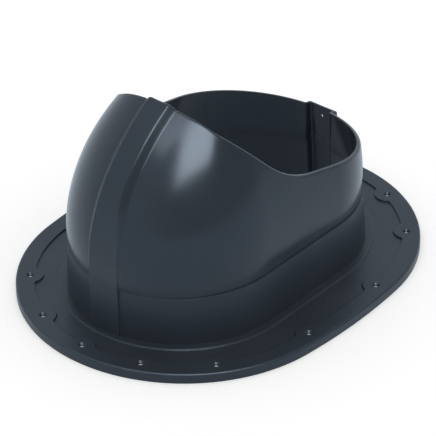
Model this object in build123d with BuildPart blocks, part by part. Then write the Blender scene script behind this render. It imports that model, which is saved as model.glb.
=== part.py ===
"""Tile roof vent base: a one-piece moulded roof flange with a neck and a leaning dome.

Millimetres, +Z up. The flange lies on the roof at z = 0, its length is along X and the
high front of the dome looks to -X. The part is the same on both sides of the XZ plane.
"""
from build123d import *
from math import asin, atan2, cos, degrees, hypot, radians, sin, sqrt, tan
import os

# Flange: an oval plate with a turned-down lip
flange_length = 500.0
flange_width = 385.5
flange_side_bow = 3.35
flange_height = 11.6
flange_wall = 3.0
lip_wall = 3.0
lip_round = 2.4

# Sunk panel of the flange, with a raised lobe round each nail hole
band_width = 21.0
panel_drop = 2.0
lobe_radius = 15.0
lobe_blend = 6.0

# Nail holes, funnel shaped, set along the flange edge
hole_inset = 16.0
hole_diameter = 4.5
hole_mouth = 7.6
hole_cone = 90.0
hole_bearings = (0.0, 24.0, 51.0)
hole_side_x = 60.0

# Neck: a leaning stadium tube from the flange to the crease under the dome
foot_front_x = -68.6
foot_back_x = 61.6
foot_radius = 126.3
crease_height = 70.6
crease_front_x = -72.4
crease_back_x = 59.3
crease_radius = 123.6
collar_width = 9.6
collar_rise = 1.4

# Dome: its front line is two tangent arcs, its sides are one arc
shell_wall = 4.5
belt_height = 95.0
dome_front_x = -198.7
crown_low_radius = 160.1
crown_break = 37.4
crown_top_x = -86.6
side_half_width = 122.5
side_arc_radius = 250.0
side_arc_height = 90.0
nose_x_low = -70.0
nose_x_high = -50.0
dome_back_x = 59.0
dome_sections = 10

# Guide ribs on the front and back of the dome
rib_width = 41.0
rib_proud = 6.1
rib_round = 2.2
back_rib_foot_proud = 7.6
back_rib_top_proud = 6.8
screw_hole_diameter = 3.6
screw_hole_drop = 13.0

# Rim: the mouth of the dome seen from the side, falling from the front to the back
rim_top_height = 258.5
rim_top_x = -102.5
rim_shoulder_back = 13.9
rim_shoulder_drop = 23.3
rim_shoulder_round = 22.0
rim_valley_x = -16.0
rim_valley_height = 159.6
rim_valley_round = 120.0
rim_back_slope = 11.3

# Sizes that follow from the ones above
panel_level = flange_height - panel_drop
panel_under = panel_level - flange_wall
collar_level = panel_level + collar_rise
half_length = flange_length / 2
half_width = flange_width / 2
flange_end_radius = half_width - flange_side_bow
end_x = half_length - flange_end_radius
side_centre = (end_x**2 - flange_side_bow**2) / (2 * flange_side_bow)
side_radius = half_width + side_centre
end_turn = degrees(atan2(end_x, side_centre))
rim_shoulder_x = rim_top_x + rim_shoulder_back
rim_shoulder_height = rim_top_height - rim_shoulder_drop
rim_back_fall = tan(radians(rim_back_slope))

# The upper arc of the dome's front line leaves the lower one at the break and ends level with the rim's top
low_x = dome_front_x + crown_low_radius
inward_x = cos(radians(crown_break))
inward_z = -sin(radians(crown_break))
break_x = low_x - crown_low_radius * inward_x
break_z = belt_height - crown_low_radius * inward_z
top_run = crown_top_x - break_x
top_rise = rim_top_height - break_z
crown_up_radius = (top_run**2 + top_rise**2) / (2 * (top_run * inward_x + top_rise * inward_z))
up_x = break_x + crown_up_radius * inward_x
up_z = break_z + crown_up_radius * inward_z
dome_top = rim_top_height

# Reach of the cutting shapes beyond the part
below = -5.0
beyond = 2 * half_length


def oval(inset):
    """Closed outline of the flange, drawn inset from its edge; for use in a sketch."""
    with BuildLine() as outline:
        for end in (0, 180):
            turn = 90 - end_turn
            centre = (end_x * cos(radians(end)), 0)
            CenterArc(centre, flange_end_radius - inset, end - turn, 2 * turn)
        for side in (90, 270):
            centre = (0, -side_centre * sin(radians(side)))
            CenterArc(centre, side_radius - inset, side - end_turn, 2 * end_turn)
    make_face(outline.edges())


def stadium(front_x, back_x, radius, nose=None):
    """Oval of straight sides with a round back and a round or elliptic nose; for use in a sketch."""
    nose = radius if nose is None else nose
    with BuildLine() as outline:
        EllipticalCenterArc((front_x, 0), nose, radius, start_angle=90, arc_size=180)
        Line((front_x, -radius), (back_x, -radius))
        CenterArc((back_x, 0), radius, -90, 180)
        Line((back_x, radius), (front_x, radius))
    make_face(outline.edges())


def front_reach(height, inset):
    """X of the dome's front line at a height."""
    break_height = up_z + (crown_up_radius - inset) * sin(radians(crown_break))
    if height > break_height:
        return up_x - sqrt((crown_up_radius - inset) ** 2 - (height - up_z) ** 2)
    return low_x - sqrt((crown_low_radius - inset) ** 2 - (height - belt_height) ** 2)


def side_reach(height, inset):
    """Half width of the dome at a height."""
    drop = sqrt((side_arc_radius - inset) ** 2 - (height - side_arc_height) ** 2)
    return side_half_width - side_arc_radius + drop


def nose_centre(height):
    """X at which the dome's nose begins at a height."""
    share = (height - crease_height) / (dome_top - crease_height)
    return nose_x_low + (nose_x_high - nose_x_low) * share


def nail_spots():
    """Places of the nail holes, the same in all four quarters of the flange."""
    reach = flange_end_radius - hole_inset
    spots = []
    for bearing in hole_bearings:
        x = end_x + reach * cos(radians(bearing))
        y = reach * sin(radians(bearing))
        spots.append((x, y))
    side_y = sqrt((side_radius - hole_inset) ** 2 - hole_side_x**2) - side_centre
    spots.append((hole_side_x, side_y))
    full = [(x * a, y * b) for x, y in spots for a in (1, -1) for b in (1, -1)]
    return sorted(set((round(x, 4), round(y, 4) + 0.0) for x, y in full))


def panel():
    """Outline of the sunk panel, with a bay round each nail hole; for use in a sketch."""
    oval(band_width)
    with Locations(*nail_spots()):
        Circle(lobe_radius, mode=Mode.SUBTRACT)
    fillet([v for v in vertices() if on_lobe(v)], lobe_blend)


def on_lobe(vertex):
    """True for a corner between a lobe and the panel's edge."""
    return any(abs(hypot(vertex.X - x, vertex.Y - y) - lobe_radius) < 1e-3 for x, y in nail_spots())


def shell_body(inset):
    """Neck and dome as one solid, drawn inset from the outer skin."""
    with BuildPart() as body:
        if inset:
            with BuildSketch(Plane.XY.offset(below)):
                stadium(foot_front_x, foot_back_x, foot_radius - inset)
            extrude(amount=panel_under - below)
        with BuildSketch(Plane.XY.offset(panel_under)):
            stadium(foot_front_x, foot_back_x, foot_radius - inset)
        with BuildSketch(Plane.XY.offset(crease_height)):
            stadium(crease_front_x, crease_back_x, crease_radius - inset)
        loft(ruled=True)
        top = up_z + (crown_up_radius - inset) * (dome_top - up_z) / crown_up_radius
        for step in range(dome_sections):
            height = crease_height + (top - crease_height) * step / (dome_sections - 1)
            centre = nose_centre(height)
            nose = centre - front_reach(height, inset)
            with BuildSketch(Plane.XY.offset(height)):
                stadium(centre, dome_back_x, side_reach(height, inset), nose)
        loft(ruled=True)
    return body.part


def front_rib(inset):
    """Guide rib along the front line of the dome and down to the flange."""
    low = crown_low_radius + rib_proud - inset
    up = crown_up_radius + rib_proud - inset
    top_angle = degrees(asin((dome_top - up_z) / up))
    floor = below if inset else panel_under
    face_x = low_x - low
    with BuildPart() as rib:
        with BuildSketch(Plane.XZ):
            with BuildLine():
                Line((face_x, floor), (face_x, belt_height))
                CenterArc((low_x, belt_height), low, 180, -crown_break)
                crown = CenterArc((up_x, up_z), up, 180 - crown_break, crown_break - top_angle)
                Polyline(crown @ 1, (low_x, dome_top), (low_x, floor), (face_x, floor))
            make_face()
        extrude(amount=rib_width / 2 - inset, both=True)
        if not inset:
            sides = rib.edges().filter_by(lambda e: abs(e.center().Y) > 1)
            fillet(sides.filter_by(lambda e: is_crest(e, low, up, face_x)), rib_round)
    return rib.part


def is_crest(edge, low, up, face_x):
    """True for a long outer edge of the front rib."""
    p = edge @ 0.5
    on_face = abs(p.X - face_x) < 1e-3
    on_low = abs(hypot(p.X - low_x, p.Z - belt_height) - low) < 1e-3
    on_up = abs(hypot(p.X - up_x, p.Z - up_z) - up) < 1e-3
    return on_face or on_low or on_up


def back_rib(inset):
    """Guide rib up the back of the neck and dome."""
    floor = below if inset else panel_under
    foot = foot_back_x + foot_radius + back_rib_foot_proud - inset
    top = dome_back_x + side_reach(belt_height, 0) + back_rib_top_proud - inset
    lean = (top - foot) / (belt_height - panel_level)
    floor_x = foot + lean * (floor - panel_level)
    top_x = foot + lean * (dome_top - panel_level)
    with BuildPart() as rib:
        with BuildSketch(Plane.XZ):
            with BuildLine():
                Polyline((floor_x, floor), (top_x, dome_top), (0, dome_top), (0, floor), close=True)
            make_face()
        extrude(amount=rib_width / 2 - inset, both=True)
        if not inset:
            upright = rib.edges().filter_by(lambda e: abs(e.tangent_at(0.5).Z) > 0.5)
            fillet(upright.filter_by(lambda e: e.center().X > dome_back_x), rib_round)
    return rib.part


with BuildPart() as vent_base:
    # Flange plate with its rounded edge and hollow underside
    with BuildSketch():
        oval(0)
    extrude(amount=flange_height)
    fillet(vent_base.faces().sort_by(Axis.Z)[-1].edges(), lip_round)
    with BuildSketch():
        oval(lip_wall)
    extrude(amount=panel_under, mode=Mode.SUBTRACT)

    # Sunk panel inside the thicker band
    with BuildSketch(Plane.XY.offset(panel_level)):
        panel()
    extrude(amount=panel_drop, mode=Mode.SUBTRACT)

    # Funnel-shaped nail holes
    with Locations(*[(x, y, flange_height) for x, y in nail_spots()]):
        CounterSinkHole(hole_diameter / 2, hole_mouth / 2, flange_height, hole_cone)

    # Collar, neck, dome and ribs, then the one hollow through them all
    with BuildSketch(Plane.XY.offset(panel_under)):
        stadium(foot_front_x, foot_back_x, foot_radius + collar_width)
    extrude(amount=collar_level - panel_under)
    for solid in (shell_body(0), front_rib(0), back_rib(0)):
        add(solid)
    for hollow in (shell_body(shell_wall), front_rib(shell_wall), back_rib(shell_wall)):
        add(hollow, mode=Mode.SUBTRACT)

    # Mouth of the dome
    with BuildSketch(Plane.XZ):
        with BuildLine():
            steep = -rim_shoulder_back / rim_shoulder_drop
            rise = 2 * dome_top
            high_x = rim_shoulder_x + steep * (rise - rim_shoulder_height)
            back_z = rim_valley_height - (beyond - rim_valley_x) * rim_back_fall
            rim = FilletPolyline(
                (beyond, back_z),
                (rim_valley_x, rim_valley_height),
                (rim_shoulder_x, rim_shoulder_height),
                (high_x, rise),
                radius=[rim_valley_round, rim_shoulder_round],
            )
            Polyline(rim @ 1, (beyond, rise), rim @ 0)
        make_face()
    extrude(amount=flange_width, both=True, mode=Mode.SUBTRACT)

    # Small hole through the back rib, just under the rim
    rib_rim_height = rim_valley_height - (dome_back_x + side_half_width - rim_valley_x) * rim_back_fall
    with BuildSketch(Plane.YZ.offset(dome_back_x)):
        with Locations((0, rib_rim_height - screw_hole_drop)):
            Circle(screw_hole_diameter / 2)
    extrude(amount=beyond, mode=Mode.SUBTRACT)

vent_base.part.label = "vent_base"
os.makedirs("parts", exist_ok=True)
export_step(vent_base.part, "parts/vent_base.step")
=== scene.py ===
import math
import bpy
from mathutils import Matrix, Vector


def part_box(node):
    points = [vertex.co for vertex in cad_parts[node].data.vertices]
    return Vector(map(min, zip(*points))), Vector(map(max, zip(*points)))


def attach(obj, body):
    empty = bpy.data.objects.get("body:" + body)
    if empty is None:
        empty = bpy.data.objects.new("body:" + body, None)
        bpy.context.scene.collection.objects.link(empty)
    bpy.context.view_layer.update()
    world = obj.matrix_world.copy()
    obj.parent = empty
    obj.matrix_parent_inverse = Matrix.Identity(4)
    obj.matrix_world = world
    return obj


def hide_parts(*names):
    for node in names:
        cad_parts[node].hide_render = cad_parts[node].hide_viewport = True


bl_info = {
    "name": "Tile Roof Vent Base",
    "version": (1, 0, 0),
    "blender": (4, 5, 0),
    "location": "View3D > Sidebar > Vent Base",
    "description": "Builds the moulded base of a roof vent for tiled roofs, with its studio",
    "category": "Object",
}

import bmesh
import bpy
from bpy.props import FloatProperty, FloatVectorProperty, PointerProperty
from mathutils import Vector

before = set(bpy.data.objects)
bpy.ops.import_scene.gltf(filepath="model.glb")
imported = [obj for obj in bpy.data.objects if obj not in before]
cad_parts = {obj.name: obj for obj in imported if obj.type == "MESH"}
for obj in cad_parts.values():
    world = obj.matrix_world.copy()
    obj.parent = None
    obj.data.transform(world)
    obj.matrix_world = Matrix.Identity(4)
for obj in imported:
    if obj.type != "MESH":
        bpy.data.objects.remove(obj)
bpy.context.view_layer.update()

NODE = "vent_base"
BODY = "root"
MATERIAL = "Anthracite moulded plastic"
RUB_ATTRIBUTE = "edge_rub"

HALF_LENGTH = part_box(NODE)[1].x
HALF_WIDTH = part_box(NODE)[1].y


def length(label, description, default):
    """A length property in metres."""
    return FloatProperty(name=label, description=description, default=default, precision=4, unit="LENGTH")


def turn(label, description, degrees):
    """An angle property."""
    return FloatProperty(name=label, description=description, default=math.radians(degrees), subtype="ANGLE")


def power(label, description, default):
    """A lamp's power property in watts."""
    return FloatProperty(name=label, description=description, default=default, unit="POWER")


def share(label, description, default):
    """A property from 0 to 1."""
    return FloatProperty(name=label, description=description, default=default, min=0, max=1, subtype="FACTOR")


def colour(label, description, default):
    """A colour property."""
    return FloatVectorProperty(
        name=label, description=description, default=default, min=0, max=1, size=3, subtype="COLOR"
    )


class VentBaseFlangeSizes(bpy.types.PropertyGroup):
    """Sizes of the oval flange that is nailed to the roof."""

    side_bow: length("Side bow", "How far each long side bows out", 0.00335)
    height: length("Height", "Top of the raised border above the roof", 0.0116)
    lip_wall: length("Lip wall", "Thickness of the lip that stands on the roof", 0.003)
    lip_round: length("Lip round", "Radius of the lip's top edge", 0.0024)
    lip_foot_round: length("Lip foot round", "Radius of the lip's bottom edge", 0.0004)
    band_width: length("Border width", "Width of the raised border", 0.021)
    panel_level: length("Panel level", "Top of the sunk panel above the roof", 0.0096)
    underside: length("Underside", "Flat underside above the roof", 0.0066)
    edge_round: length("Border edge", "Radius of the border's inner edge", 0.0009)
    root_round: length("Panel corner", "Radius where a wall meets the panel", 0.0007)
    lobe_radius: length("Lobe radius", "Radius of the lobe round a nail hole", 0.015)
    lobe_blend: length("Lobe blend", "Radius where a lobe runs into the border", 0.006)
    collar_width: length("Collar width", "Width of the collar round the neck", 0.0096)
    collar_level: length("Collar level", "Top of the collar above the roof", 0.011)
    collar_round: length("Collar edge", "Radius of the collar's top edge", 0.0008)
    nail_inset: length("Nail inset", "Nail holes in from the flange's edge", 0.016)
    nail_hole: length("Nail hole", "Diameter of a nail hole", 0.0045)
    nail_mouth: length("Nail mouth", "Diameter of a nail hole's mouth", 0.0088)
    nail_wall: length("Nail wall", "Thickness left at a nail hole, over its relief", 0.0032)
    nail_relief: length("Nail relief", "Diameter of the relief below a nail hole", 0.012)
    nail_bearing: turn("Nail bearing", "Second nail hole round each end", 24)
    nail_far_bearing: turn("Far nail bearing", "Third nail hole round each end", 51)
    nail_side_x: length("Side nail holes", "Nail holes of the long sides from the middle", 0.06)
    spacing: length("Mesh spacing", "Distance between the mesh's columns at the edge", 0.0013)


class VentBaseHoodSizes(bpy.types.PropertyGroup):
    """Sizes of the neck, the leaning dome, its two ribs and its sloping mouth."""

    wall: length("Wall", "Thickness of the shell", 0.0045)
    bottom: length("Bottom", "Bottom of the shell, inside the flange", 0.007)
    foot_height: length("Foot height", "Where the neck starts", 0.0066)
    foot_front: length("Foot front", "Centre of the neck's front arc at its foot", -0.0686)
    foot_back: length("Foot back", "Centre of the neck's back arc at its foot", 0.0616)
    foot_radius: length("Foot radius", "Radius of the neck at its foot", 0.1263)
    crease_height: length("Crease height", "Where the neck meets the dome", 0.0706)
    crease_front: length("Crease front", "Centre of the neck's front arc at the crease", -0.0724)
    crease_back: length("Crease back", "Centre of the neck's back arc at the crease", 0.0593)
    crease_radius: length("Crease radius", "Radius of the neck at the crease", 0.1236)
    crease_gap: length("Crease gap", "Half height of the fine groove at the crease", 0.0004)
    crease_groove: length("Crease groove", "Depth of the fine groove at the crease", 0.0006)
    belt_height: length("Belt height", "Where the dome's front stands upright", 0.095)
    dome_front: length("Dome front", "Foremost point of the dome", -0.1987)
    dome_back: length("Dome back", "Centre of the dome's back arc", 0.059)
    low_radius: length("Lower crown radius", "Radius of the front line over the belt", 0.1601)
    crown_break: turn("Crown break", "Where the front line gets flatter", 37.4)
    crown_top: length("Crown top", "Front line where it reaches the top", -0.0866)
    half_width: length("Half width", "Half of the dome's width", 0.1225)
    side_radius: length("Side radius", "Radius of the dome's upright side line", 0.25)
    side_height: length("Side height", "Height where the dome is widest", 0.09)
    nose_low: length("Nose low", "Centre of the dome's nose at the crease", -0.07)
    nose_high: length("Nose high", "Centre of the dome's nose at the top", -0.05)
    rib_half: length("Rib half width", "Half of each rib's width at its root", 0.0205)
    rib_proud: length("Rib proud", "Front rib out from the dome near the mouth", 0.0061)
    rib_foot_proud: length("Rib foot proud", "Front rib out from the dome's front at the belt", -0.0008)
    rib_start: length("Rib start", "Height where the front rib starts to leave the dome", 0.108)
    rib_full: length("Rib full", "Height where the front rib is fully out", 0.188)
    rib_draft: share("Rib draft", "Slope of the front rib's flanks where it stands out", 0.9)
    rib_foot_draft: length("Rib foot draft", "Slope of the ribs' flanks, each side", 0.0008)
    rib_round: length("Rib round", "Reach of the rounding on the ribs' edges", 0.0014)
    rib_joint: length("Rib joint", "Radius where a rib meets the dome", 0.0012)
    channel_round: length("Channel round", "Radius of the channels behind the ribs", 0.0026)
    back_foot_proud: length("Back rib foot", "Back rib out from the neck's foot", 0.0076)
    back_top_proud: length("Back rib top", "Back rib out from the dome", 0.0068)
    rim_top: length("Rim top", "Highest point of the mouth's line", 0.2585)
    rim_top_x: length("Rim top place", "Where the mouth's line is highest", -0.1021)
    shoulder_back: length("Shoulder back", "Mouth's shoulder behind its top", 0.0139)
    shoulder_drop: length("Shoulder drop", "Mouth's shoulder below its top", 0.0233)
    shoulder_round: length("Shoulder round", "Radius of the mouth's shoulder", 0.022)
    valley_x: length("Valley place", "Where the mouth's line turns level", -0.016)
    valley_height: length("Valley height", "Height where the mouth's line turns level", 0.1596)
    valley_round: length("Valley round", "Radius of the mouth's turn", 0.12)
    back_slope: turn("Back slope", "Fall of the mouth towards the back", 11.3)
    rim_round: length("Rim round", "Radius of the mouth's outer edge", 0.0028)
    rim_inner_round: length("Rim inner round", "Radius of the mouth's inner edge", 0.0005)
    screw_hole: length("Screw hole", "Diameter of the hole through the back rib", 0.0036)
    screw_sink: length("Screw sink", "Diameter of the screw hole's mouth outside", 0.008)
    screw_drop: length("Screw drop", "Screw hole below the mouth's back", 0.013)


class VentBaseFinish(bpy.types.PropertyGroup):
    """Colours and surface of the moulded plastic."""

    plastic: colour("Plastic", "Colour of the plastic", (0.0245, 0.0312, 0.0415))
    plastic_pale: colour("Pale plastic", "Colour in the paler flow marks", (0.0285, 0.0358, 0.0468))
    rubbed: colour("Rubbed edge", "Colour of the edges where hands have rubbed them", (0.06, 0.07, 0.085))
    dust: colour("Dust", "Colour of the fine dust", (0.2, 0.195, 0.185))
    satin: share("Satin", "Roughness of the smoothest skin", 0.155)
    dull: share("Dull", "Roughness of the dullest skin", 0.23)
    foot_dull: share("Foot dull", "Roughness added on the neck and the flange", 0.16)
    foot_height: length("Foot height", "Height up to which the skin is duller", 0.0704)
    specular: share("Specular", "Specular level of the plastic", 0.33)
    sheen_tint: colour("Gloss tint", "Colour of the plastic's gloss", (0.72, 0.85, 1.0))
    rub_amount: share("Rub amount", "How much the edges are rubbed", 0.35)
    dust_amount: share("Dust amount", "How much dust lies on level places", 0.03)
    grain: length("Grain", "Depth of the moulded grain", 0.000006)


class VentBaseStage(bpy.types.PropertyGroup):
    """Camera, floor, room light and the two softboxes."""

    bearing: turn("Bearing", "Bearing of the camera round the object", -50.36)
    rise: turn("Rise", "Height of the camera as an angle", 32.77)
    distance: length("Distance", "Camera to the point it looks at", 3.44896)
    look_x: length("Look X", "Point that the camera looks at", 0.06754)
    look_y: length("Look Y", "Point that the camera looks at", 0.05947)
    lens: FloatProperty(
        name="Lens", description="Focal length on a 36 mm sensor", default=246.45, subtype="DISTANCE_CAMERA"
    )
    floor_size: length("Floor size", "Side of the square floor", 16.0)
    floor_gap: length("Floor gap", "Floor below the lip", 0.0002)
    floor_white: share("Floor white", "Paleness of the floor", 0.9)
    floor_fill: share("Floor fill", "White added to the floor where it is seen", 0.33)
    room_light: share("Room light", "Level of the light from all round", 0.8)
    gloss_tone: colour("Gloss tone", "Cool tone of the room and the floor in the gloss", (0.8, 0.9, 1.0))
    dim_level: share("Dim side", "Level of the room on its dim side", 0.45)
    dim_bearing: turn("Dim bearing", "Bearing of the room's dim side", 0)
    dim_rise: turn("Dim rise", "Height of the room's dim side as an angle", 35)
    key_power: power("Key power", "Power of the gloss softbox", 45)
    key_width: length("Key width", "Width of the gloss softbox", 1.0)
    key_height: length("Key height", "Height of the gloss softbox", 1.15)
    key_distance: length("Key distance", "Softboxes from the dome", 1.6)
    key_bearing: turn("Key bearing", "Bearing of the gloss softbox round the object", -34)
    key_rise: turn("Key rise", "Height of the gloss softbox as an angle", 55)
    side_power: power("Side power", "Power of the side softbox", 7.5)
    side_width: length("Side width", "Width of the side softbox", 0.7)
    side_bearing: turn("Side bearing", "Bearing of the side softbox round the object", -108)
    side_rise: turn("Side rise", "Height of the side softbox as an angle", 64)


# Mesh columns over each stretch of half the hood, from the front rib round to the back rib.
HOOD_STEPS = (
    ("front_face", 5),
    ("front_round", 7),
    ("front_flank", 3),
    ("front_joint", 4),
    ("nose", 60),
    ("side", 14),
    ("back", 50),
    ("back_joint", 4),
    ("back_flank", 3),
    ("back_round", 7),
    ("back_face", 5),
)
# Mesh rows up the neck, up the dome's outside, down its inside and over the rim's two edges.
NECK_ROWS = 9
OUTER_ROWS = 46
INNER_ROWS = 30
RIM_ROWS = 8
INNER_RIM_ROWS = 4
# Sides of the channels behind the ribs, in from the ribs' own sides, as a share of the wall.
CHANNEL_STEP = 0.8
# Most of a rib's flank that its rounded edge or its joint may take.
FLANK_SHARE = 0.4
# Distance of the row that keeps the shading next to a rounded edge flat.
SUPPORT = 0.0006
# Halvings in the search for the mouth's line, and the short way down that gives a column's slope.
BISECTIONS = 40
SLIDE = 0.0004


def between(start, end, part):
    """The value or point that lies that part of the way from start to end."""
    return start + (end - start) * part


def spread(start, end, steps):
    """Values or points in even steps from start to end, both included."""
    return [between(start, end, step / steps) for step in range(steps + 1)]


def bent(start, corner, end, part):
    """A point on the smooth bend from start to end round a corner."""
    return between(between(start, corner, part), between(corner, end, part), part)


def rim_height_at(size, x):
    """Height of the mouth's cutting line over a place along the hood."""
    shoulder_x = size.rim_top_x + size.shoulder_back
    shoulder_z = size.rim_top - size.shoulder_drop
    steep = -size.shoulder_drop / size.shoulder_back
    middle = (shoulder_z - size.valley_height) / (shoulder_x - size.valley_x)
    level = -math.tan(size.back_slope)
    bends = (
        (size.valley_x, size.valley_height, middle, level, size.valley_round),
        (shoulder_x, shoulder_z, steep, middle, size.shoulder_round),
    )
    for corner_x, corner_z, before, after, radius in bends:
        start = math.atan(before)
        end = math.atan(after)
        reach = radius * math.tan((end - start) / 2)
        if corner_x - reach * math.cos(start) < x < corner_x + reach * math.cos(end):
            centre_x = corner_x - reach * math.cos(start) - radius * math.sin(start)
            centre_z = corner_z - reach * math.sin(start) + radius * math.cos(start)
            return centre_z - math.sqrt(radius**2 - (x - centre_x) ** 2)
    if x > size.valley_x:
        return size.valley_height + level * (x - size.valley_x)
    if x > shoulder_x:
        return size.valley_height + middle * (x - size.valley_x)
    return shoulder_z + steep * (x - shoulder_x)


class HoodSkin:
    """One skin of the hood: the outside, or the inside set in by the wall."""

    def __init__(self, size, inset, rib_half, rib_round, rib_joint):
        self.size = size
        self.inset = inset
        self.rib_half = rib_half
        self.rib_round = rib_round
        self.rib_joint = rib_joint
        self.low_x = size.dome_front + size.low_radius
        lean_x = math.cos(size.crown_break)
        lean_z = math.sin(size.crown_break)
        break_x = self.low_x - size.low_radius * lean_x
        break_z = size.belt_height + size.low_radius * lean_z
        run = size.crown_top - break_x
        climb = size.rim_top - break_z
        self.up_radius = (run**2 + climb**2) / (2 * (run * lean_x - climb * lean_z))
        self.up_x = break_x + self.up_radius * lean_x
        self.up_z = break_z - self.up_radius * lean_z

    def front_x(self, height, proud):
        """The front centre line at a height, moved out by proud."""
        low = self.size.low_radius + proud
        up = self.up_radius + proud
        if height > self.up_z + up * math.sin(self.size.crown_break):
            return self.up_x - math.sqrt(up**2 - (height - self.up_z) ** 2)
        return self.low_x - math.sqrt(low**2 - (height - self.size.belt_height) ** 2)

    def front_proud(self, height):
        """How far the front rib stands out: flush at the belt, fully out towards the mouth."""
        size = self.size
        rise = min(max((height - size.rib_start) / (size.rib_full - size.rib_start), 0), 1)
        return between(size.rib_foot_proud, size.rib_proud, rise * rise * (3 - 2 * rise))

    def front_rib_x(self, height):
        """The front rib's face; it stands upright below the belt."""
        return self.front_x(max(height, self.size.belt_height), self.front_proud(height) - self.inset)

    def front_face_half(self, height):
        """Half of the width of the front rib's face; its flanks slope where it stands out."""
        size = self.size
        slope = size.rib_draft * (self.front_proud(height) - size.rib_foot_proud)
        return self.rib_half - size.rib_foot_draft - slope

    def back_rib_x(self, height):
        """The back rib's face; it leans evenly from foot to top."""
        size = self.size
        foot = size.foot_back + size.foot_radius + size.back_foot_proud
        top = size.dome_back + size.half_width + size.back_top_proud
        climb = (height - size.foot_height) / (size.belt_height - size.foot_height)
        return between(foot, top, climb) - self.inset

    def neck_section(self, height):
        """Nose centre, nose length, half width and back centre of the neck."""
        size = self.size
        climb = (height - size.foot_height) / (size.crease_height - size.foot_height)
        radius = between(size.foot_radius, size.crease_radius, climb) - self.inset
        front = between(size.foot_front, size.crease_front, climb)
        return front, radius, radius, between(size.foot_back, size.crease_back, climb)

    def dome_section(self, height):
        """Nose centre, nose length, half width and back centre of the dome."""
        size = self.size
        climb = (height - size.crease_height) / (size.rim_top - size.crease_height)
        centre = between(size.nose_low, size.nose_high, climb)
        nose = centre - self.front_x(height, -self.inset)
        bulge = math.sqrt((size.side_radius - self.inset) ** 2 - (height - size.side_height) ** 2)
        return centre, nose, size.half_width - size.side_radius + bulge, size.dome_back

    def rib_point(self, kind, part, face_x, face_half, skin_at):
        """X and Y on a rib: on its face, rounded edge, sloping flank or joint with the skin."""
        corner = Vector((face_x, face_half))
        root = Vector((skin_at(self.rib_half), self.rib_half))
        slope = (root - corner).normalized()
        room = (root - corner).length * FLANK_SHARE
        edge = min(self.rib_round, room)
        joint = min(self.rib_joint, room)
        if kind == "face":
            return face_x, (face_half - edge) * part
        if kind == "round":
            return bent(Vector((face_x, face_half - edge)), corner, corner + slope * edge, part)
        if kind == "flank":
            return between(corner + slope * edge, root - slope * joint, part)
        skin_y = self.rib_half + self.rib_joint
        return bent(root - slope * joint, root, Vector((skin_at(skin_y), skin_y)), part)

    def point(self, station, height, section):
        """The point of one column at a height, on the +Y half of the hood."""
        kind, part = station
        nose_centre, nose, width, back_centre = section
        where, _, piece = kind.partition("_")
        start = math.asin((self.rib_half + self.rib_joint) / width)
        if kind == "nose":
            angle = between(start, math.pi / 2, part)
            return Vector((nose_centre - nose * math.cos(angle), width * math.sin(angle), height))
        if kind == "side":
            return Vector((between(nose_centre, back_centre, part), width, height))
        if kind == "back":
            angle = between(math.pi / 2, start, part)
            return Vector((back_centre + width * math.cos(angle), width * math.sin(angle), height))
        if where == "front":
            x, y = self.rib_point(
                piece,
                part,
                self.front_rib_x(height),
                self.front_face_half(height),
                lambda y: nose_centre - nose * math.sqrt(1 - (y / width) ** 2),
            )
        else:
            x, y = self.rib_point(
                piece,
                1 - part,
                self.back_rib_x(height),
                self.rib_half - self.size.rib_foot_draft,
                lambda y: back_centre + math.sqrt(width**2 - y**2),
            )
        return Vector((x, y, height))

    def neck_point(self, station, height):
        """The point of one column of the neck."""
        return self.point(station, height, self.neck_section(height))

    def dome_point(self, station, height):
        """The point of one column of the dome."""
        return self.point(station, height, self.dome_section(height))

    def crease_point(self, station):
        """The bottom of the fine groove between the neck and the dome; the ribs run over it."""
        size = self.size
        under = self.neck_point(station, size.crease_height)
        over = self.dome_point(station, size.crease_height)
        if station[0] not in ("nose", "side", "back"):
            return between(under, over, 0.5)
        axis = Vector((min(max(under.x, size.crease_front), size.crease_back), 0, size.crease_height))
        deepest = min(under, over, key=lambda point: (point - axis).length)
        return deepest + (axis - deepest).normalized() * size.crease_groove

    def rim_height(self, station):
        """Height where one column of the dome meets the mouth's line."""
        low = self.size.crease_height
        high = self.size.rim_top
        for _ in range(BISECTIONS):
            height = (low + high) / 2
            if height < rim_height_at(self.size, self.dome_point(station, height).x):
                low = height
            else:
                high = height
        return low

    def climb(self, station, height):
        """Direction in which one column of the dome climbs at a height."""
        return (self.dome_point(station, height) - self.dome_point(station, height - SLIDE)).normalized()


def hood_column(outer, inner, station):
    """One column of the hood: up the outside, over the rim and down the inside."""
    size = outer.size
    dome_bottom = size.crease_height + size.crease_gap
    neck_top = size.crease_height - size.crease_gap
    rim = outer.rim_height(station)
    inner_rim = inner.rim_height(station)
    tip = outer.dome_point(station, rim)
    inner_tip = inner.dome_point(station, inner_rim)
    across = (inner_tip - tip).normalized()
    rim_start = rim - size.rim_round * outer.climb(station, rim).z
    inner_start = inner_rim - size.rim_inner_round * inner.climb(station, inner_rim).z

    points = [outer.neck_point(station, height) for height in spread(size.bottom, neck_top, NECK_ROWS)]
    points.append(outer.crease_point(station))
    heights = spread(dome_bottom, rim_start - SUPPORT, OUTER_ROWS)
    points += [outer.dome_point(station, height) for height in heights]
    start = outer.dome_point(station, rim_start)
    end = tip + across * size.rim_round
    points += [bent(start, tip, end, part) for part in spread(0, 1, RIM_ROWS)]
    start = inner_tip - across * size.rim_inner_round
    end = inner.dome_point(station, inner_start)
    points += [bent(start, inner_tip, end, part) for part in spread(0, 1, INNER_RIM_ROWS)]
    heights = spread(inner_start - SUPPORT, dome_bottom, INNER_ROWS)
    points += [inner.dome_point(station, height) for height in heights]
    points += [inner.neck_point(station, height) for height in spread(neck_top, size.bottom, NECK_ROWS)]
    return points


def outer_skin(size):
    """The hood's outside."""
    return HoodSkin(size, 0, size.rib_half, size.rib_round, size.rib_joint)


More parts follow.
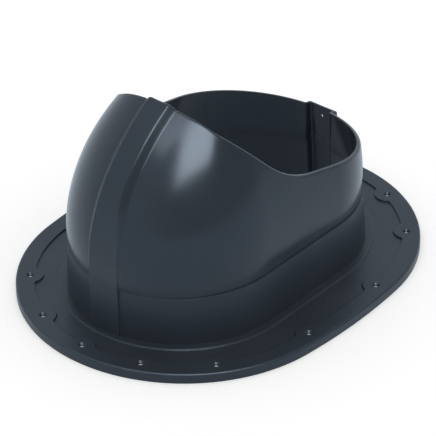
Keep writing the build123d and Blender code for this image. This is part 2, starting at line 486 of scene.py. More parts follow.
def inner_skin(size):
    """The hood's inside, with a channel behind each rib."""
    channel_half = size.rib_half - CHANNEL_STEP * size.wall
    return HoodSkin(size, size.wall, channel_half, size.channel_round, size.channel_round)


def hood_columns(size):
    """All the hood's columns, round from the front rib and back to it."""
    outer = outer_skin(size)
    inner = inner_skin(size)
    stations = [(kind, step / count) for kind, count in HOOD_STEPS for step in range(count)]
    stations.append((HOOD_STEPS[-1][0], 1))
    half = [hood_column(outer, inner, station) for station in stations]
    mirrored = [[Vector((p.x, -p.y, p.z)) for p in column] for column in reversed(half[1:-1])]
    return half + mirrored


def closed_grid(name, columns):
    """A mesh of columns of points, closed round both ways, with its faces outward."""
    rows = len(columns[0])
    points = [point for column in columns for point in column]
    faces = []
    for column in range(len(columns)):
        here = column * rows
        there = (column + 1) % len(columns) * rows
        for row in range(rows):
            over = (row + 1) % rows
            faces.append((here + row, there + row, there + over, here + over))
    mesh = bpy.data.meshes.new(name)
    mesh.from_pydata(points, [], faces)
    shape = bmesh.new()
    shape.from_mesh(mesh)
    bmesh.ops.recalc_face_normals(shape, faces=shape.faces)
    shape.to_mesh(mesh)
    shape.free()
    return mesh


def add_object(name, data):
    """An object at the origin for a mesh, lamp or camera, linked to the scene."""
    made = bpy.data.objects.new(name, data)
    bpy.context.scene.collection.objects.link(made)
    return made


def remove_helper(made):
    """Removes an object that only helped to make a piece, with its mesh."""
    mesh = made.data
    bpy.data.objects.remove(made)
    bpy.data.meshes.remove(mesh)


def bake_modifiers(made):
    """Turns what an object's modifiers make into its own plain mesh."""
    bpy.context.view_layer.update()
    evaluated = made.evaluated_get(bpy.context.evaluated_depsgraph_get())
    mesh = bpy.data.meshes.new_from_object(evaluated)
    made.modifiers.clear()
    rough = made.data
    made.data = mesh
    bpy.data.meshes.remove(rough)
    mesh.name = made.name


def bake_cut(made, cut):
    """Bakes a piece with its cut, and stops if nothing was cut."""
    solid_points = len(made.data.vertices)
    bake_modifiers(made)
    if len(made.data.vertices) <= solid_points:
        raise RuntimeError(f"not cut: {cut}")


# Bend past which an edge is shaded sharp, radius of an edge that is fully rubbed, and least width of a face.
SHARP_ANGLE = math.radians(32)
RUB_RADIUS = 0.0022
LEAST_WIDTH = SUPPORT / 100


def mark_rubbed_edges(mesh):
    """Writes how tightly the surface bends outwards at each point, 1 at a crisp edge."""
    shape = bmesh.new()
    shape.from_mesh(mesh)
    rub = [0.0] * len(shape.verts)
    for edge in shape.edges:
        if len(edge.link_faces) != 2:
            continue
        width = sum(face.calc_area() for face in edge.link_faces) / max(2 * edge.calc_length(), LEAST_WIDTH)
        bend = edge.calc_face_angle_signed(0) / max(width, LEAST_WIDTH)
        level = min(max(bend * RUB_RADIUS, 0), 1)
        for vertex in edge.verts:
            rub[vertex.index] = max(rub[vertex.index], level)
    shape.free()
    layer = mesh.attributes.new(RUB_ATTRIBUTE, "FLOAT", "POINT")
    layer.data.foreach_set("value", rub)


def finish_piece(made, material):
    """Smooth shading, edge rub, material and the place in the frame for a finished piece."""
    mesh = made.data
    mesh.shade_smooth()
    mesh.set_sharp_from_angle(angle=SHARP_ANGLE)
    mark_rubbed_edges(mesh)
    mesh.materials.clear()
    mesh.materials.append(material)
    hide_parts(NODE)
    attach(made, BODY)


def oval(size):
    """Radius and place of the flange's end arcs, and how far its side arcs are centred from the middle."""
    end_radius = HALF_WIDTH - size.side_bow
    end_x = HALF_LENGTH - end_radius
    side_centre = (end_x**2 - size.side_bow**2) / (2 * size.side_bow)
    return end_radius, end_x, side_centre


def flange_outline(size):
    """Points round the flange's edge, each with its direction inwards."""
    end_radius, end_x, side_centre = oval(size)
    side_radius = side_centre + HALF_WIDTH
    side_turn = math.atan2(end_x, side_centre)
    quarter = math.pi / 2
    arcs = (
        (Vector((end_x, 0)), end_radius, side_turn - quarter, quarter - side_turn),
        (Vector((0, -side_centre)), side_radius, quarter - side_turn, quarter + side_turn),
        (Vector((-end_x, 0)), end_radius, quarter + side_turn, 3 * quarter - side_turn),
        (Vector((0, side_centre)), side_radius, 3 * quarter - side_turn, 3 * quarter + side_turn),
    )
    outline = []
    for centre, radius, start, end in arcs:
        count = math.ceil(radius * (end - start) / size.spacing)
        for step in range(count):
            angle = between(start, end, step / count)
            outward = Vector((math.cos(angle), math.sin(angle)))
            outline.append((centre + outward * radius, -outward))
    return outline


def nail_spots(size):
    """Centres of the nail holes, alike on all four corners."""
    end_radius, end_x, side_centre = oval(size)
    reach = end_radius - size.nail_inset
    side_reach = side_centre + HALF_WIDTH - size.nail_inset
    quarter = [Vector((end_x + reach, 0))]
    for bearing in (size.nail_bearing, size.nail_far_bearing):
        quarter.append(Vector((end_x + reach * math.cos(bearing), reach * math.sin(bearing))))
    side_y = math.sqrt(side_reach**2 - size.nail_side_x**2) - side_centre
    quarter.append(Vector((size.nail_side_x, side_y)))
    spots = []
    for spot in quarter:
        for x in (spot.x, -spot.x):
            spots.append(Vector((x, spot.y)))
            if spot.y:
                spots.append(Vector((x, -spot.y)))
    return spots


def border_width(size, edge, inward, spots):
    """Width of the raised border at a point of the edge: wider where a lobe holds a nail hole."""
    blend_depth = size.band_width + size.lobe_blend
    reach = size.lobe_radius + size.lobe_blend
    blend_side = math.sqrt(reach**2 - (blend_depth - size.nail_inset) ** 2)
    lobe_side = blend_side * size.lobe_radius / reach
    width = size.band_width
    for spot in spots:
        off = spot - edge
        depth = off.dot(inward)
        aside = abs(off.x * inward.y - off.y * inward.x)
        if off.length > 2 * reach:
            continue
        if aside < lobe_side:
            width = max(width, depth + math.sqrt(size.lobe_radius**2 - aside**2))
        elif aside < blend_side:
            width = max(width, blend_depth - math.sqrt(size.lobe_blend**2 - (blend_side - aside) ** 2))
    return width


def rounding(depth, height, radius, start, end, steps):
    """Points of a rounded edge as depth and height, from one angle to another in degrees."""
    angles = [math.radians(angle) for angle in spread(start, end, steps)]
    return [(depth + radius * math.cos(angle), height + radius * math.sin(angle)) for angle in angles]


def raised(point, height):
    """A flat point lifted to a height."""
    return Vector((point.x, point.y, height))


# Mesh rows over the lip's rounding, over each other rounding, and across the panel.
LIP_STEPS = 7
EDGE_STEPS = 4
PANEL_ROWS = 3
# Where single rows lie: up the lip's wall, across the collar and across the underside, as shares.
LIP_ROW = 0.3
COLLAR_ROW = 0.2
UNDERSIDE_ROWS = (0.1, 0.97)
# How far the flange runs into the neck's wall, into the ribs' faces and into the ribs' sides.
SHELL_BITE = 0.0015
RIB_BITE = 0.002
RIB_SIDE_BITE = 0.0013
# Distance of the row that keeps the panel's shading flat next to a wall.
ROOT_SUPPORT = 0.0008


def flange_column(size, hood, edge, inward, border):
    """One column of the flange: round the lip, over the border and panel to the neck, and back below."""
    top = size.height
    lip = size.lip_round
    foot = size.lip_foot_round
    bend = size.edge_round
    root = size.root_round
    root_level = size.panel_level + root
    outside = [(size.lip_wall, 0)]
    outside += rounding(foot, foot, foot, 270, 180, EDGE_STEPS)
    outside += [(0, between(0, top, LIP_ROW)), (0, top - lip - SUPPORT)]
    outside += rounding(lip, top - lip, lip, 180, 90, LIP_STEPS)
    outside += [(lip + SUPPORT, top), (border / 2, top), (border - bend - SUPPORT, top)]
    outside += rounding(border - bend, top - bend, bend, 90, 0, EDGE_STEPS)
    outside += rounding(border + root, root_level, root, 180, 270, EDGE_STEPS)
    outside += [(border + root + ROOT_SUPPORT, size.panel_level)]
    points = [raised(edge + inward * depth, height) for depth, height in outside]

    centre = Vector((min(max(edge.x, hood.foot_front), hood.foot_back), 0))
    radial = (centre - edge).normalized()
    collar = centre - radial * (hood.foot_radius + size.collar_width)
    inner = centre - radial * (hood.foot_radius - SHELL_BITE)
    front_rib = hood.dome_front - hood.rib_foot_proud + RIB_BITE
    back_rib = hood.foot_back + hood.foot_radius + hood.back_foot_proud - RIB_BITE
    rib = Vector((front_rib if edge.x < 0 else back_rib, collar.y))
    rib_side = hood.rib_half - 2 * RIB_SIDE_BITE
    rib_foot = hood.rib_half - RIB_SIDE_BITE
    inner = between(rib, inner, min(max((abs(inner.y) - rib_side) / (rib_foot - rib_side), 0), 1))

    collar_top = size.collar_level
    bend = size.collar_round
    inside = [(-root - ROOT_SUPPORT, size.panel_level)]
    inside += rounding(-root, root_level, root, 270, 360, EDGE_STEPS)
    inside += rounding(bend, collar_top - bend, bend, 180, 90, EDGE_STEPS)
    collar_points = [raised(collar + radial * depth, height) for depth, height in inside]
    points += spread(points[-1], collar_points[0], PANEL_ROWS)[1:-1] + collar_points
    inner_top = raised(inner, collar_top)
    inner_bottom = raised(inner, size.underside)
    wall_top = raised(edge + inward * size.lip_wall, size.underside)
    points += [between(points[-1], inner_top, COLLAR_ROW), inner_top, inner_bottom]
    points += [between(inner_bottom, wall_top, part) for part in UNDERSIDE_ROWS]
    points.append(wall_top)
    return points


def flange_columns(size, hood):
    """All the flange's columns, once round its edge."""
    spots = nail_spots(size)
    columns = []
    for edge, inward in flange_outline(size):
        columns.append(flange_column(size, hood, edge, inward, border_width(size, edge, inward, spots)))
    return columns


def add_socket(tree, label, kind, default=None, output=False):
    """A named socket on a node tree."""
    socket = tree.interface.new_socket(label, in_out="OUTPUT" if output else "INPUT", socket_type=kind)
    if default is not None:
        socket.default_value = default
    return socket


def add_node(tree, kind, x, y, label=""):
    """A node of a tree, put where it can be read."""
    node = tree.nodes.new(kind)
    node.location = (x, y)
    node.label = label
    return node


def math_node(tree, operation, x, y, first, second, label=""):
    """A Math node with its two values linked or set."""
    node = add_node(tree, "ShaderNodeMath", x, y, label)
    node.operation = operation
    for socket, value in zip(node.inputs, (first, second)):
        if isinstance(value, bpy.types.NodeSocket):
            tree.links.new(value, socket)
        else:
            socket.default_value = value
    return node.outputs[0]


def mix_colours(tree, x, y, mask, under, over):
    """One colour laid over another by a mask; each colour is linked or set."""
    mix = add_node(tree, "ShaderNodeMix", x, y)
    mix.data_type = "RGBA"
    sockets = {socket.identifier: socket for socket in (*mix.inputs, *mix.outputs)}
    tree.links.new(mask, sockets["Factor_Float"])
    for label, value in (("A_Color", under), ("B_Color", over)):
        if isinstance(value, bpy.types.NodeSocket):
            tree.links.new(value, sockets[label])
        else:
            sockets[label].default_value = (*value, 1)
    return sockets["Result_Color"]


# Sides of a round cutter, and how far the cutters reach past the flange above and below.
NAIL_SIDES = 40
CUT_ABOVE = 0.001
CUT_BELOW = 0.006


def nail_hole_tree():
    """Geometry nodes that cut a funnelled nail hole at every point of another object."""
    tree = bpy.data.node_groups.new("Nail holes", "GeometryNodeTree")
    add_socket(tree, "Geometry", "NodeSocketGeometry")
    add_socket(tree, "Spots", "NodeSocketObject")
    for label in ("Hole Radius", "Mouth Radius", "Top", "Wall", "Relief Radius"):
        add_socket(tree, label, "NodeSocketFloat")
    add_socket(tree, "Material", "NodeSocketMaterial")
    add_socket(tree, "Geometry", "NodeSocketGeometry", output=True)
    source = add_node(tree, "NodeGroupInput", -1200, 0)
    link = tree.links.new

    hole = source.outputs["Hole Radius"]
    mouth = source.outputs["Mouth Radius"]
    top = source.outputs["Top"]
    funnel_depth = math_node(tree, "SUBTRACT", -1000, -200, mouth, hole, "Funnel depth")
    cone_height = math_node(tree, "ADD", -800, -200, funnel_depth, CUT_ABOVE, "Funnel and clearance")
    cone_radius = math_node(tree, "ADD", -800, -360, mouth, CUT_ABOVE, "Funnel top radius")
    cone_bottom = math_node(tree, "SUBTRACT", -800, -520, top, funnel_depth, "Funnel bottom")
    relief_top = math_node(tree, "SUBTRACT", -1000, -840, top, source.outputs["Wall"], "Relief top")
    relief_middle = math_node(tree, "SUBTRACT", -800, -840, relief_top, CUT_BELOW / 2, "Relief middle")

    funnel = add_node(tree, "GeometryNodeMeshCone", -560, -200, "Funnel")
    link(cone_radius, funnel.inputs["Radius Top"])
    link(hole, funnel.inputs["Radius Bottom"])
    link(cone_height, funnel.inputs["Depth"])
    drill = add_node(tree, "GeometryNodeMeshCylinder", -560, -560, "Drill")
    relief = add_node(tree, "GeometryNodeMeshCylinder", -560, -920, "Relief")
    for cylinder, radius in ((drill, hole), (relief, source.outputs["Relief Radius"])):
        link(radius, cylinder.inputs["Radius"])
        cylinder.inputs["Depth"].default_value = CUT_BELOW

    spots = add_node(tree, "GeometryNodeObjectInfo", -560, 140, "Spots")
    link(source.outputs["Spots"], spots.inputs["Object"])
    cut = add_node(tree, "GeometryNodeMeshBoolean", 440, 0)
    cut.operation = "DIFFERENCE"
    cut.solver = "EXACT"
    link(source.outputs["Geometry"], cut.inputs["Mesh 1"])
    placing = ((funnel, cone_bottom, -200), (drill, cone_bottom, -560), (relief, relief_middle, -920))
    for shape, level, y in placing:
        shape.inputs["Vertices"].default_value = NAIL_SIDES
        lift = add_node(tree, "ShaderNodeCombineXYZ", -360, y - 200)
        link(level, lift.inputs["Z"])
        placed = add_node(tree, "GeometryNodeTransform", -180, y)
        link(shape.outputs["Mesh"], placed.inputs["Geometry"])
        link(lift.outputs["Vector"], placed.inputs["Translation"])
        copies = add_node(tree, "GeometryNodeInstanceOnPoints", 20, y)
        link(spots.outputs["Geometry"], copies.inputs["Points"])
        link(placed.outputs["Geometry"], copies.inputs["Instance"])
        real = add_node(tree, "GeometryNodeRealizeInstances", 220, y)
        link(copies.outputs["Instances"], real.inputs["Geometry"])
        link(real.outputs["Geometry"], cut.inputs["Mesh 2"])

    whole = add_node(tree, "GeometryNodeRealizeInstances", 640, 0)
    link(cut.outputs["Mesh"], whole.inputs["Geometry"])
    dressed = add_node(tree, "GeometryNodeSetMaterial", 840, 0)
    link(whole.outputs["Geometry"], dressed.inputs["Geometry"])
    link(source.outputs["Material"], dressed.inputs["Material"])
    result = add_node(tree, "NodeGroupOutput", 1040, 0)
    link(dressed.outputs["Geometry"], result.inputs["Geometry"])
    return tree


def set_tree_input(modifier, label, value):
    """Sets one named input of a geometry nodes modifier."""
    for item in modifier.node_group.interface.items_tree:
        if item.item_type == "SOCKET" and item.in_out == "INPUT" and item.name == label:
            modifier[item.identifier] = value
            return
    raise RuntimeError(f"the node tree has no input named {label}")


def finish_group(name, inputs, results):
    """A shader node group on coordinates, with named inputs and results, and its two end nodes."""
    tree = bpy.data.node_groups.new(name, "ShaderNodeTree")
    add_socket(tree, "Vector", "NodeSocketVector")
    for label, default in inputs.items():
        add_socket(tree, label, "NodeSocketColor" if default is None else "NodeSocketFloat", default)
    for label, kind in results.items():
        add_socket(tree, label, kind, output=True)
    return tree, add_node(tree, "NodeGroupInput", -700, 0), add_node(tree, "NodeGroupOutput", 500, 0)


def noise_node(tree, source, scale, y, label, detail):
    """A noise on a group's coordinates, at one of the group's scales."""
    node = add_node(tree, "ShaderNodeTexNoise", -480, y, label)
    node.inputs["Detail"].default_value = detail
    tree.links.new(source.outputs["Vector"], node.inputs["Vector"])
    tree.links.new(source.outputs[scale], node.inputs["Scale"])
    return node


def range_node(tree, x, y, value, stretch, label=""):
    """A Map Range node over a stretch of a value."""
    node = add_node(tree, "ShaderNodeMapRange", x, y, label)
    tree.links.new(value, node.inputs["Value"])
    node.inputs["From Min"].default_value, node.inputs["From Max"].default_value = stretch
    return node


# Stretches of the noises that are used, and of how far a face looks up before dust lies on it.
FLOW_STRETCH = (0.5, 0.9)
DRIFT_STRETCH = (0.35, 0.65)
RUB_STRETCH = (0.4, 0.7)
DUST_STRETCH = (0.5, 1)
FLOW_SWIRL = 0.6
SPECK_SHARE = 0.4
# Height over which the duller skin of the neck runs out on the dome.
FOOT_BLEND = 0.015


def flow_tone_group():
    """Moulded colour: broad pale flow marks and a fine speck in the plastic."""
    inputs = {"Tone": None, "Pale Tone": None, "Flow Scale": 6, "Speck Scale": 900}
    tree, source, result = finish_group("Moulded tone", inputs, {"Color": "NodeSocketColor"})
    flow = noise_node(tree, source, "Flow Scale", 120, "Flow marks", 3)
    flow.inputs["Distortion"].default_value = FLOW_SWIRL
    speck = noise_node(tree, source, "Speck Scale", -160, "Speck", 2)
    blend = math_node(tree, "MULTIPLY", -260, -160, speck.outputs["Fac"], SPECK_SHARE, "Speck share")
    total = math_node(tree, "ADD", -80, 0, flow.outputs["Fac"], blend, "Flow and speck")
    level = range_node(tree, 100, 0, total, FLOW_STRETCH).outputs["Result"]
    toned = mix_colours(tree, 300, 0, level, source.outputs["Tone"], source.outputs["Pale Tone"])
    tree.links.new(toned, result.inputs["Color"])
    return tree


def satin_skin_group():
    """Satin skin: roughness that drifts and is duller low down, and the height of a fine grain."""
    inputs = {"Satin": 0.2, "Dull": 0.3, "Foot Dull": 0.1, "Foot Height": 0.07}
    inputs.update({"Drift Scale": 14, "Grain Scale": 1400})
    results = {"Roughness": "NodeSocketFloat", "Height": "NodeSocketFloat"}
    tree, source, result = finish_group("Satin skin", inputs, results)
    link = tree.links.new
    drift = noise_node(tree, source, "Drift Scale", 120, "Drift", 4)
    level = range_node(tree, -240, 120, drift.outputs["Fac"], DRIFT_STRETCH)
    link(source.outputs["Satin"], level.inputs["To Min"])
    link(source.outputs["Dull"], level.inputs["To Max"])
    grain = noise_node(tree, source, "Grain Scale", -160, "Grain", 2)
    parts = add_node(tree, "ShaderNodeSeparateXYZ", -480, -420)
    link(source.outputs["Vector"], parts.inputs["Vector"])
    blend_top = math_node(tree, "ADD", -240, -520, source.outputs["Foot Height"], FOOT_BLEND, "Blend top")
    low = add_node(tree, "ShaderNodeMapRange", -40, -360, "Duller low down")
    low.interpolation_type = "SMOOTHSTEP"
    link(parts.outputs["Z"], low.inputs["Value"])
    link(source.outputs["Foot Height"], low.inputs["From Min"])
    link(blend_top, low.inputs["From Max"])
    link(source.outputs["Foot Dull"], low.inputs["To Min"])
    low.inputs["To Max"].default_value = 0
    rough = math_node(tree, "ADD", 160, 60, level.outputs["Result"], low.outputs["Result"], "Roughness")
    link(rough, result.inputs["Roughness"])
    link(grain.outputs["Fac"], result.inputs["Height"])
    return tree


def edge_rub_group():
    """Edge rub: the bent edges, broken up so that they are rubbed unevenly."""
    inputs = {"Bend": 0, "Amount": 0.3, "Patch Scale": 60}
    tree, source, result = finish_group("Edge rub", inputs, {"Mask": "NodeSocketFloat"})
    patch = noise_node(tree, source, "Patch Scale", -120, "Patches", 5)
    level = range_node(tree, -160, -120, patch.outputs["Fac"], RUB_STRETCH).outputs["Result"]
    worn = math_node(tree, "MULTIPLY", 40, 0, source.outputs["Bend"], level, "Worn")
    mask = math_node(tree, "MULTIPLY", 220, 0, worn, source.outputs["Amount"], "Mask")
    tree.links.new(mask, result.inputs["Mask"])
    return tree


def settled_dust_group():
    """Settled dust: fine patches on what faces up."""
    inputs = {"Amount": 0.05, "Patch Scale": 22}
    tree, source, result = finish_group("Settled dust", inputs, {"Mask": "NodeSocketFloat"})
    surface = add_node(tree, "ShaderNodeNewGeometry", -700, -260)
    facing = add_node(tree, "ShaderNodeSeparateXYZ", -500, -260)
    tree.links.new(surface.outputs["Normal"], facing.inputs["Vector"])
    up = range_node(tree, -300, -260, facing.outputs["Z"], DUST_STRETCH).outputs["Result"]
    patch = noise_node(tree, source, "Patch Scale", 60, "Patches", 6)
    lying = math_node(tree, "MULTIPLY", -80, 0, patch.outputs["Fac"], up, "Lying")
    mask = math_node(tree, "MULTIPLY", 100, 0, lying, source.outputs["Amount"], "Mask")
    tree.links.new(mask, result.inputs["Mask"])
    return tree


def add_group(tree, group, x, y, vector):
    """A shader node group placed in a material and fed with its coordinates."""
    node = add_node(tree, "ShaderNodeGroup", x, y, group.name)
    node.node_tree = group
    tree.links.new(vector, node.inputs["Vector"])
    return node


def empty_tree(owner):
    """The node tree of a material or of the room's world, emptied."""
    owner.use_nodes = True
    owner.node_tree.nodes.clear()
    return owner.node_tree


# How strongly the fine grain shows.
BUMP_STRENGTH = 0.35


def plastic_material(finish):
    """The moulded plastic that the whole vent base is made of."""
    made = bpy.data.materials.get(MATERIAL)
    if made:
        return made
    made = bpy.data.materials.new(MATERIAL)
    tree = empty_tree(made)
    link = tree.links.new
    place = add_node(tree, "ShaderNodeTexCoord", -1200, 0).outputs["Object"]
    tone = add_group(tree, flow_tone_group(), -900, 300, place)
    tone.inputs["Tone"].default_value = (*finish.plastic, 1)
    tone.inputs["Pale Tone"].default_value = (*finish.plastic_pale, 1)
    skin = add_group(tree, satin_skin_group(), -900, -120, place)
    skin.inputs["Satin"].default_value = finish.satin
    skin.inputs["Dull"].default_value = finish.dull
    skin.inputs["Foot Dull"].default_value = finish.foot_dull
    skin.inputs["Foot Height"].default_value = finish.foot_height
    bend = add_node(tree, "ShaderNodeAttribute", -1200, -300, "Bent edges")
    bend.attribute_name = RUB_ATTRIBUTE
    rub = add_group(tree, edge_rub_group(), -900, 80, place)
    rub.inputs["Amount"].default_value = finish.rub_amount
    link(bend.outputs["Fac"], rub.inputs["Bend"])
    dust = add_group(tree, settled_dust_group(), -900, -340, place)
    dust.inputs["Amount"].default_value = finish.dust_amount
    rubbed = mix_colours(tree, -600, 240, rub.outputs["Mask"], tone.outputs["Color"], finish.rubbed)
    dusty = mix_colours(tree, -380, 200, dust.outputs["Mask"], rubbed, finish.dust)
    duller = math_node(tree, "ADD", -600, -120, skin.outputs["Roughness"], dust.outputs["Mask"], "Dust dulls")
    bump = add_node(tree, "ShaderNodeBump", -380, -300)
    bump.inputs["Strength"].default_value = BUMP_STRENGTH
    bump.inputs["Distance"].default_value = finish.grain
    link(skin.outputs["Height"], bump.inputs["Height"])
    shader = add_node(tree, "ShaderNodeBsdfPrincipled", -100, 100)
    shader.inputs["Specular IOR Level"].default_value = finish.specular
    shader.inputs["Specular Tint"].default_value = (*finish.sheen_tint, 1)
    link(dusty, shader.inputs["Base Color"])
    link(duller, shader.inputs["Roughness"])
    link(bump.outputs["Normal"], shader.inputs["Normal"])
    output = add_node(tree, "ShaderNodeOutputMaterial", 220, 100)
    link(shader.outputs["BSDF"], output.inputs["Surface"])
    return made


def seen_rays(tree, x, y):
    """1 for rays that show the background: to the camera, in gloss and through holes."""
    rays = add_node(tree, "ShaderNodeLightPath", x, y).outputs
    camera, gloss = rays["Is Camera Ray"], rays["Is Glossy Ray"]
    shiny = math_node(tree, "MAXIMUM", x + 200, y, camera, gloss, "Seen or shiny")
    return math_node(tree, "MAXIMUM", x + 400, y, shiny, rays["Is Transmission Ray"], "Seen at all")


def floor_material(stage):
    """Pale floor that is white where it is seen, keeps the shadow and looks cooler in the gloss."""
    made = bpy.data.materials.new("White studio floor")
    tree = empty_tree(made)
    link = tree.links.new
    white = (stage.floor_white, stage.floor_white, stage.floor_white)
    cool = [stage.floor_white * tone for tone in stage.gloss_tone]
    in_gloss = add_node(tree, "ShaderNodeLightPath", -500, 160).outputs["Is Glossy Ray"]
    matt = add_node(tree, "ShaderNodeBsdfDiffuse", 0, 100)
    link(mix_colours(tree, -200, 160, in_gloss, white, cool), matt.inputs["Color"])
    seen = seen_rays(tree, -700, -100)
    fill = math_node(tree, "MULTIPLY", 0, -100, seen, stage.floor_fill, "Fill where seen")
    glow = add_node(tree, "ShaderNodeEmission", 200, -100)
    link(mix_colours(tree, 0, -260, in_gloss, (1, 1, 1), stage.gloss_tone), glow.inputs["Color"])
    link(fill, glow.inputs["Strength"])
    both = add_node(tree, "ShaderNodeAddShader", 400, 0)
    link(matt.outputs["BSDF"], both.inputs[0])
    link(glow.outputs["Emission"], both.inputs[1])
    output = add_node(tree, "ShaderNodeOutputMaterial", 600, 0)
    link(both.outputs["Shader"], output.inputs["Surface"])
    return made


def direction(bearing, rise):
    """A direction out from the object, by bearing from the near side and by rise."""
    level = math.cos(rise)
    return Vector((math.sin(bearing) * level, -math.cos(bearing) * level, math.sin(rise)))


# How squarely a direction looks to the dim side where the room starts to dim, and where it is dimmest.
DIM_STRETCH = (0.1, 0.8)


def light_room(stage):
    """White room: even light from all round, white where it is seen, with a dim, cool side in the gloss."""
    world = bpy.data.worlds.new("White studio room")
    tree = empty_tree(world)
    link = tree.links.new
    level = add_node(tree, "ShaderNodeMapRange", 0, 0, "Level")
    link(seen_rays(tree, -700, 0), level.inputs["Value"])
    level.inputs["To Min"].default_value = stage.room_light
    facing = add_node(tree, "ShaderNodeVectorMath", -500, -260, "Towards the dim side")
    facing.operation = "DOT_PRODUCT"
    link(add_node(tree, "ShaderNodeTexCoord", -700, -260).outputs["Generated"], facing.inputs[0])
    facing.inputs[1].default_value = direction(stage.dim_bearing, stage.dim_rise)
    dim = range_node(tree, -300, -260, facing.outputs["Value"], DIM_STRETCH, "Dim side")
    dim.interpolation_type = "SMOOTHSTEP"
    dim.inputs["To Min"].default_value = 1
    dim.inputs["To Max"].default_value = stage.dim_level
    tone = mix_colours(tree, 0, -260, dim.outputs["Result"], (0, 0, 0), stage.gloss_tone)
    in_gloss = add_node(tree, "ShaderNodeLightPath", 0, -520).outputs["Is Glossy Ray"]
    background = add_node(tree, "ShaderNodeBackground", 440, 0)
    link(mix_colours(tree, 220, -260, in_gloss, (1, 1, 1), tone), background.inputs["Color"])
    link(level.outputs["Result"], background.inputs["Strength"])
    output = add_node(tree, "ShaderNodeOutputWorld", 660, 0)
    link(background.outputs["Background"], output.inputs["Surface"])
    bpy.context.scene.world = world


def add_gloss_softbox(name, place, target, width, height, power):
    """A soft area lamp turned to a target that is seen in the gloss and adds no other light."""
    lamp = bpy.data.lights.new(name, "AREA")
    lamp.shape = "RECTANGLE"
    lamp.size = width
    lamp.size_y = height
    lamp.energy = power
    made = add_object(name, lamp)
    made.location = place
    made.rotation_euler = (target - place).to_track_quat("-Z", "Y").to_euler()
    made.visible_diffuse = False


class VENTBASE_OT_flange(bpy.types.Operator):
    """Build the oval flange with its raised border, lobes, collar and nail holes"""

    bl_idname = "vent_base.flange"
    bl_label = "Build Flange"

    def execute(self, context):
        size = context.scene.vent_base_flange
        material = plastic_material(context.scene.vent_base_finish)
        columns = flange_columns(size, context.scene.vent_base_hood)
        made = add_object("flange", closed_grid("flange", columns))
        marks = bpy.data.meshes.new("nail_spots")
        marks.from_pydata([spot.to_3d() for spot in nail_spots(size)], [], [])
        marker = add_object("nail_spots", marks)
        drill = made.modifiers.new("Nail holes", "NODES")
        drill.node_group = nail_hole_tree()
        values = {
            "Spots": marker,
            "Hole Radius": size.nail_hole / 2,
            "Mouth Radius": size.nail_mouth / 2,
            "Top": size.height,
            "Wall": size.nail_wall,
            "Relief Radius": size.nail_relief / 2,
            "Material": material,
        }
        for label, value in values.items():
            set_tree_input(drill, label, value)
        bake_cut(made, "nail holes")
        remove_helper(marker)
        finish_piece(made, material)
        return {"FINISHED"}


# Sides of the screw hole's cutter, and its length in walls.
SCREW_SIDES = 32
SCREW_REACH = 6


def screw_cutter(size):
    """What cuts the screw hole through the back rib: a drill with a flare on the outside."""
    middle_x = size.dome_back + size.half_width
    height = rim_height_at(size, middle_x) - size.screw_drop
    face_x = outer_skin(size).back_rib_x(height)
    radius = size.screw_hole / 2
    sink = size.screw_sink / 2
    depth = SCREW_REACH * size.wall
    shape = bmesh.new()
    bmesh.ops.create_cone(
        shape, cap_ends=True, segments=SCREW_SIDES, radius1=radius, radius2=radius, depth=depth
    )
    for vertex in shape.verts:
        if vertex.co.z > 0:
            vertex.co.z = face_x - middle_x - (sink - radius)
    top = [face for face in shape.faces if all(vertex.co.z > 0 for vertex in face.verts)]
    scale = (sink + size.wall) / radius
    for item in bmesh.ops.extrude_face_region(shape, geom=top)["geom"]:
        if isinstance(item, bmesh.types.BMVert):
            item.co = Vector((item.co.x * scale, item.co.y * scale, item.co.z + sink - radius + size.wall))
    bmesh.ops.delete(shape, geom=top, context="FACES_ONLY")
    bmesh.ops.recalc_face_normals(shape, faces=shape.faces)
    mesh = bpy.data.meshes.new("screw_cutter")
    shape.to_mesh(mesh)
    shape.free()
    made = add_object("screw_cutter", mesh)
    made.rotation_euler = (0, math.pi / 2, 0)
    made.location = (middle_x, 0, height)
    return made


class VENTBASE_OT_hood(bpy.types.Operator):
    """Build the neck and the leaning dome with its ribs, rounded rim and screw hole"""

    bl_idname = "vent_base.hood"
    bl_label = "Build Hood"

    def execute(self, context):
        size = context.scene.vent_base_hood
        material = plastic_material(context.scene.vent_base_finish)
        made = add_object("hood", closed_grid("hood", hood_columns(size)))
        cutter = screw_cutter(size)
        drill = made.modifiers.new("Screw hole", "BOOLEAN")
        drill.object = cutter
        drill.operation = "DIFFERENCE"
        drill.solver = "EXACT"
        bake_cut(made, "screw hole")
        remove_helper(cutter)
        finish_piece(made, material)
        return {"FINISHED"}


# Width of the camera's sensor in millimetres.
SENSOR_WIDTH = 36


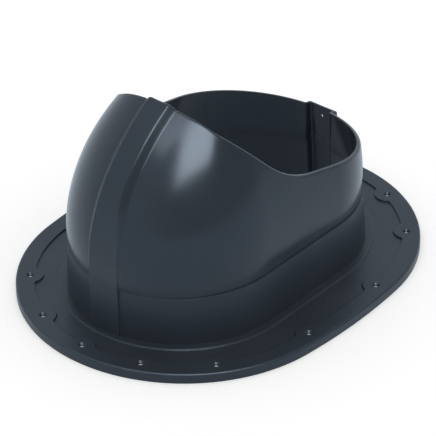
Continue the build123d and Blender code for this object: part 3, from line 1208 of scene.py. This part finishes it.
class VENTBASE_OT_stage(bpy.types.Operator):
    """Set up the white studio, its softboxes and the camera"""

    bl_idname = "vent_base.stage"
    bl_label = "Set Stage"

    def execute(self, context):
        stage = context.scene.vent_base_stage
        half = stage.floor_size / 2
        corners = ((-half, -half), (half, -half), (half, half), (-half, half))
        mesh = bpy.data.meshes.new("studio_floor")
        mesh.from_pydata([(x, y, -stage.floor_gap) for x, y in corners], [], [(0, 1, 2, 3)])
        mesh.materials.append(floor_material(stage))
        add_object("studio_floor", mesh)
        light_room(stage)
        hood = context.scene.vent_base_hood
        dome = Vector((hood.rim_top_x, 0, hood.rim_top))
        key = dome + direction(stage.key_bearing, stage.key_rise) * stage.key_distance
        add_gloss_softbox("gloss_softbox", key, dome, stage.key_width, stage.key_height, stage.key_power)
        side = dome + direction(stage.side_bearing, stage.side_rise) * stage.key_distance
        add_gloss_softbox("side_softbox", side, dome, stage.side_width, stage.side_width, stage.side_power)
        target = Vector((stage.look_x, stage.look_y, 0))
        outward = direction(stage.bearing, stage.rise)
        camera = bpy.data.cameras.new("camera")
        camera.lens = stage.lens
        camera.sensor_width = SENSOR_WIDTH
        made = add_object("camera", camera)
        made.location = target + outward * stage.distance
        made.rotation_euler = (-outward).to_track_quat("-Z", "Y").to_euler()
        context.scene.camera = made
        context.scene.view_settings.view_transform = "Standard"
        return {"FINISHED"}


class VENTBASE_PT_build(bpy.types.Panel):
    """Lists the steps that build the vent base"""

    bl_idname = "VENTBASE_PT_build"
    bl_label = "Vent Base"
    bl_space_type = "VIEW_3D"
    bl_region_type = "UI"
    bl_category = "Vent Base"

    def draw(self, context):
        for operator in OPERATORS:
            self.layout.operator(operator.bl_idname)
        for name in GROUPS:
            group = getattr(context.scene, name)
            box = self.layout.box()
            for label in group.bl_rna.properties.keys():
                if label not in ("rna_type", "name"):
                    box.prop(group, label)


OPERATORS = (VENTBASE_OT_flange, VENTBASE_OT_hood, VENTBASE_OT_stage)
GROUPS = {
    "vent_base_flange": VentBaseFlangeSizes,
    "vent_base_hood": VentBaseHoodSizes,
    "vent_base_finish": VentBaseFinish,
    "vent_base_stage": VentBaseStage,
}


def register():
    """Adds the settings, the steps and the panel."""
    for group in GROUPS.values():
        bpy.utils.register_class(group)
    for operator in OPERATORS:
        bpy.utils.register_class(operator)
    bpy.utils.register_class(VENTBASE_PT_build)
    for name, group in GROUPS.items():
        setattr(bpy.types.Scene, name, PointerProperty(type=group))


def unregister():
    """Takes the settings, the steps and the panel out again."""
    for name in GROUPS:
        delattr(bpy.types.Scene, name)
    bpy.utils.unregister_class(VENTBASE_PT_build)
    for operator in reversed(OPERATORS):
        bpy.utils.unregister_class(operator)
    for group in reversed(list(GROUPS.values())):
        bpy.utils.unregister_class(group)


def main():
    """Builds the pieces and the stage."""
    register()
    bpy.ops.vent_base.flange()
    bpy.ops.vent_base.hood()
    bpy.ops.vent_base.stage()


if __name__ == "__main__":
    main()
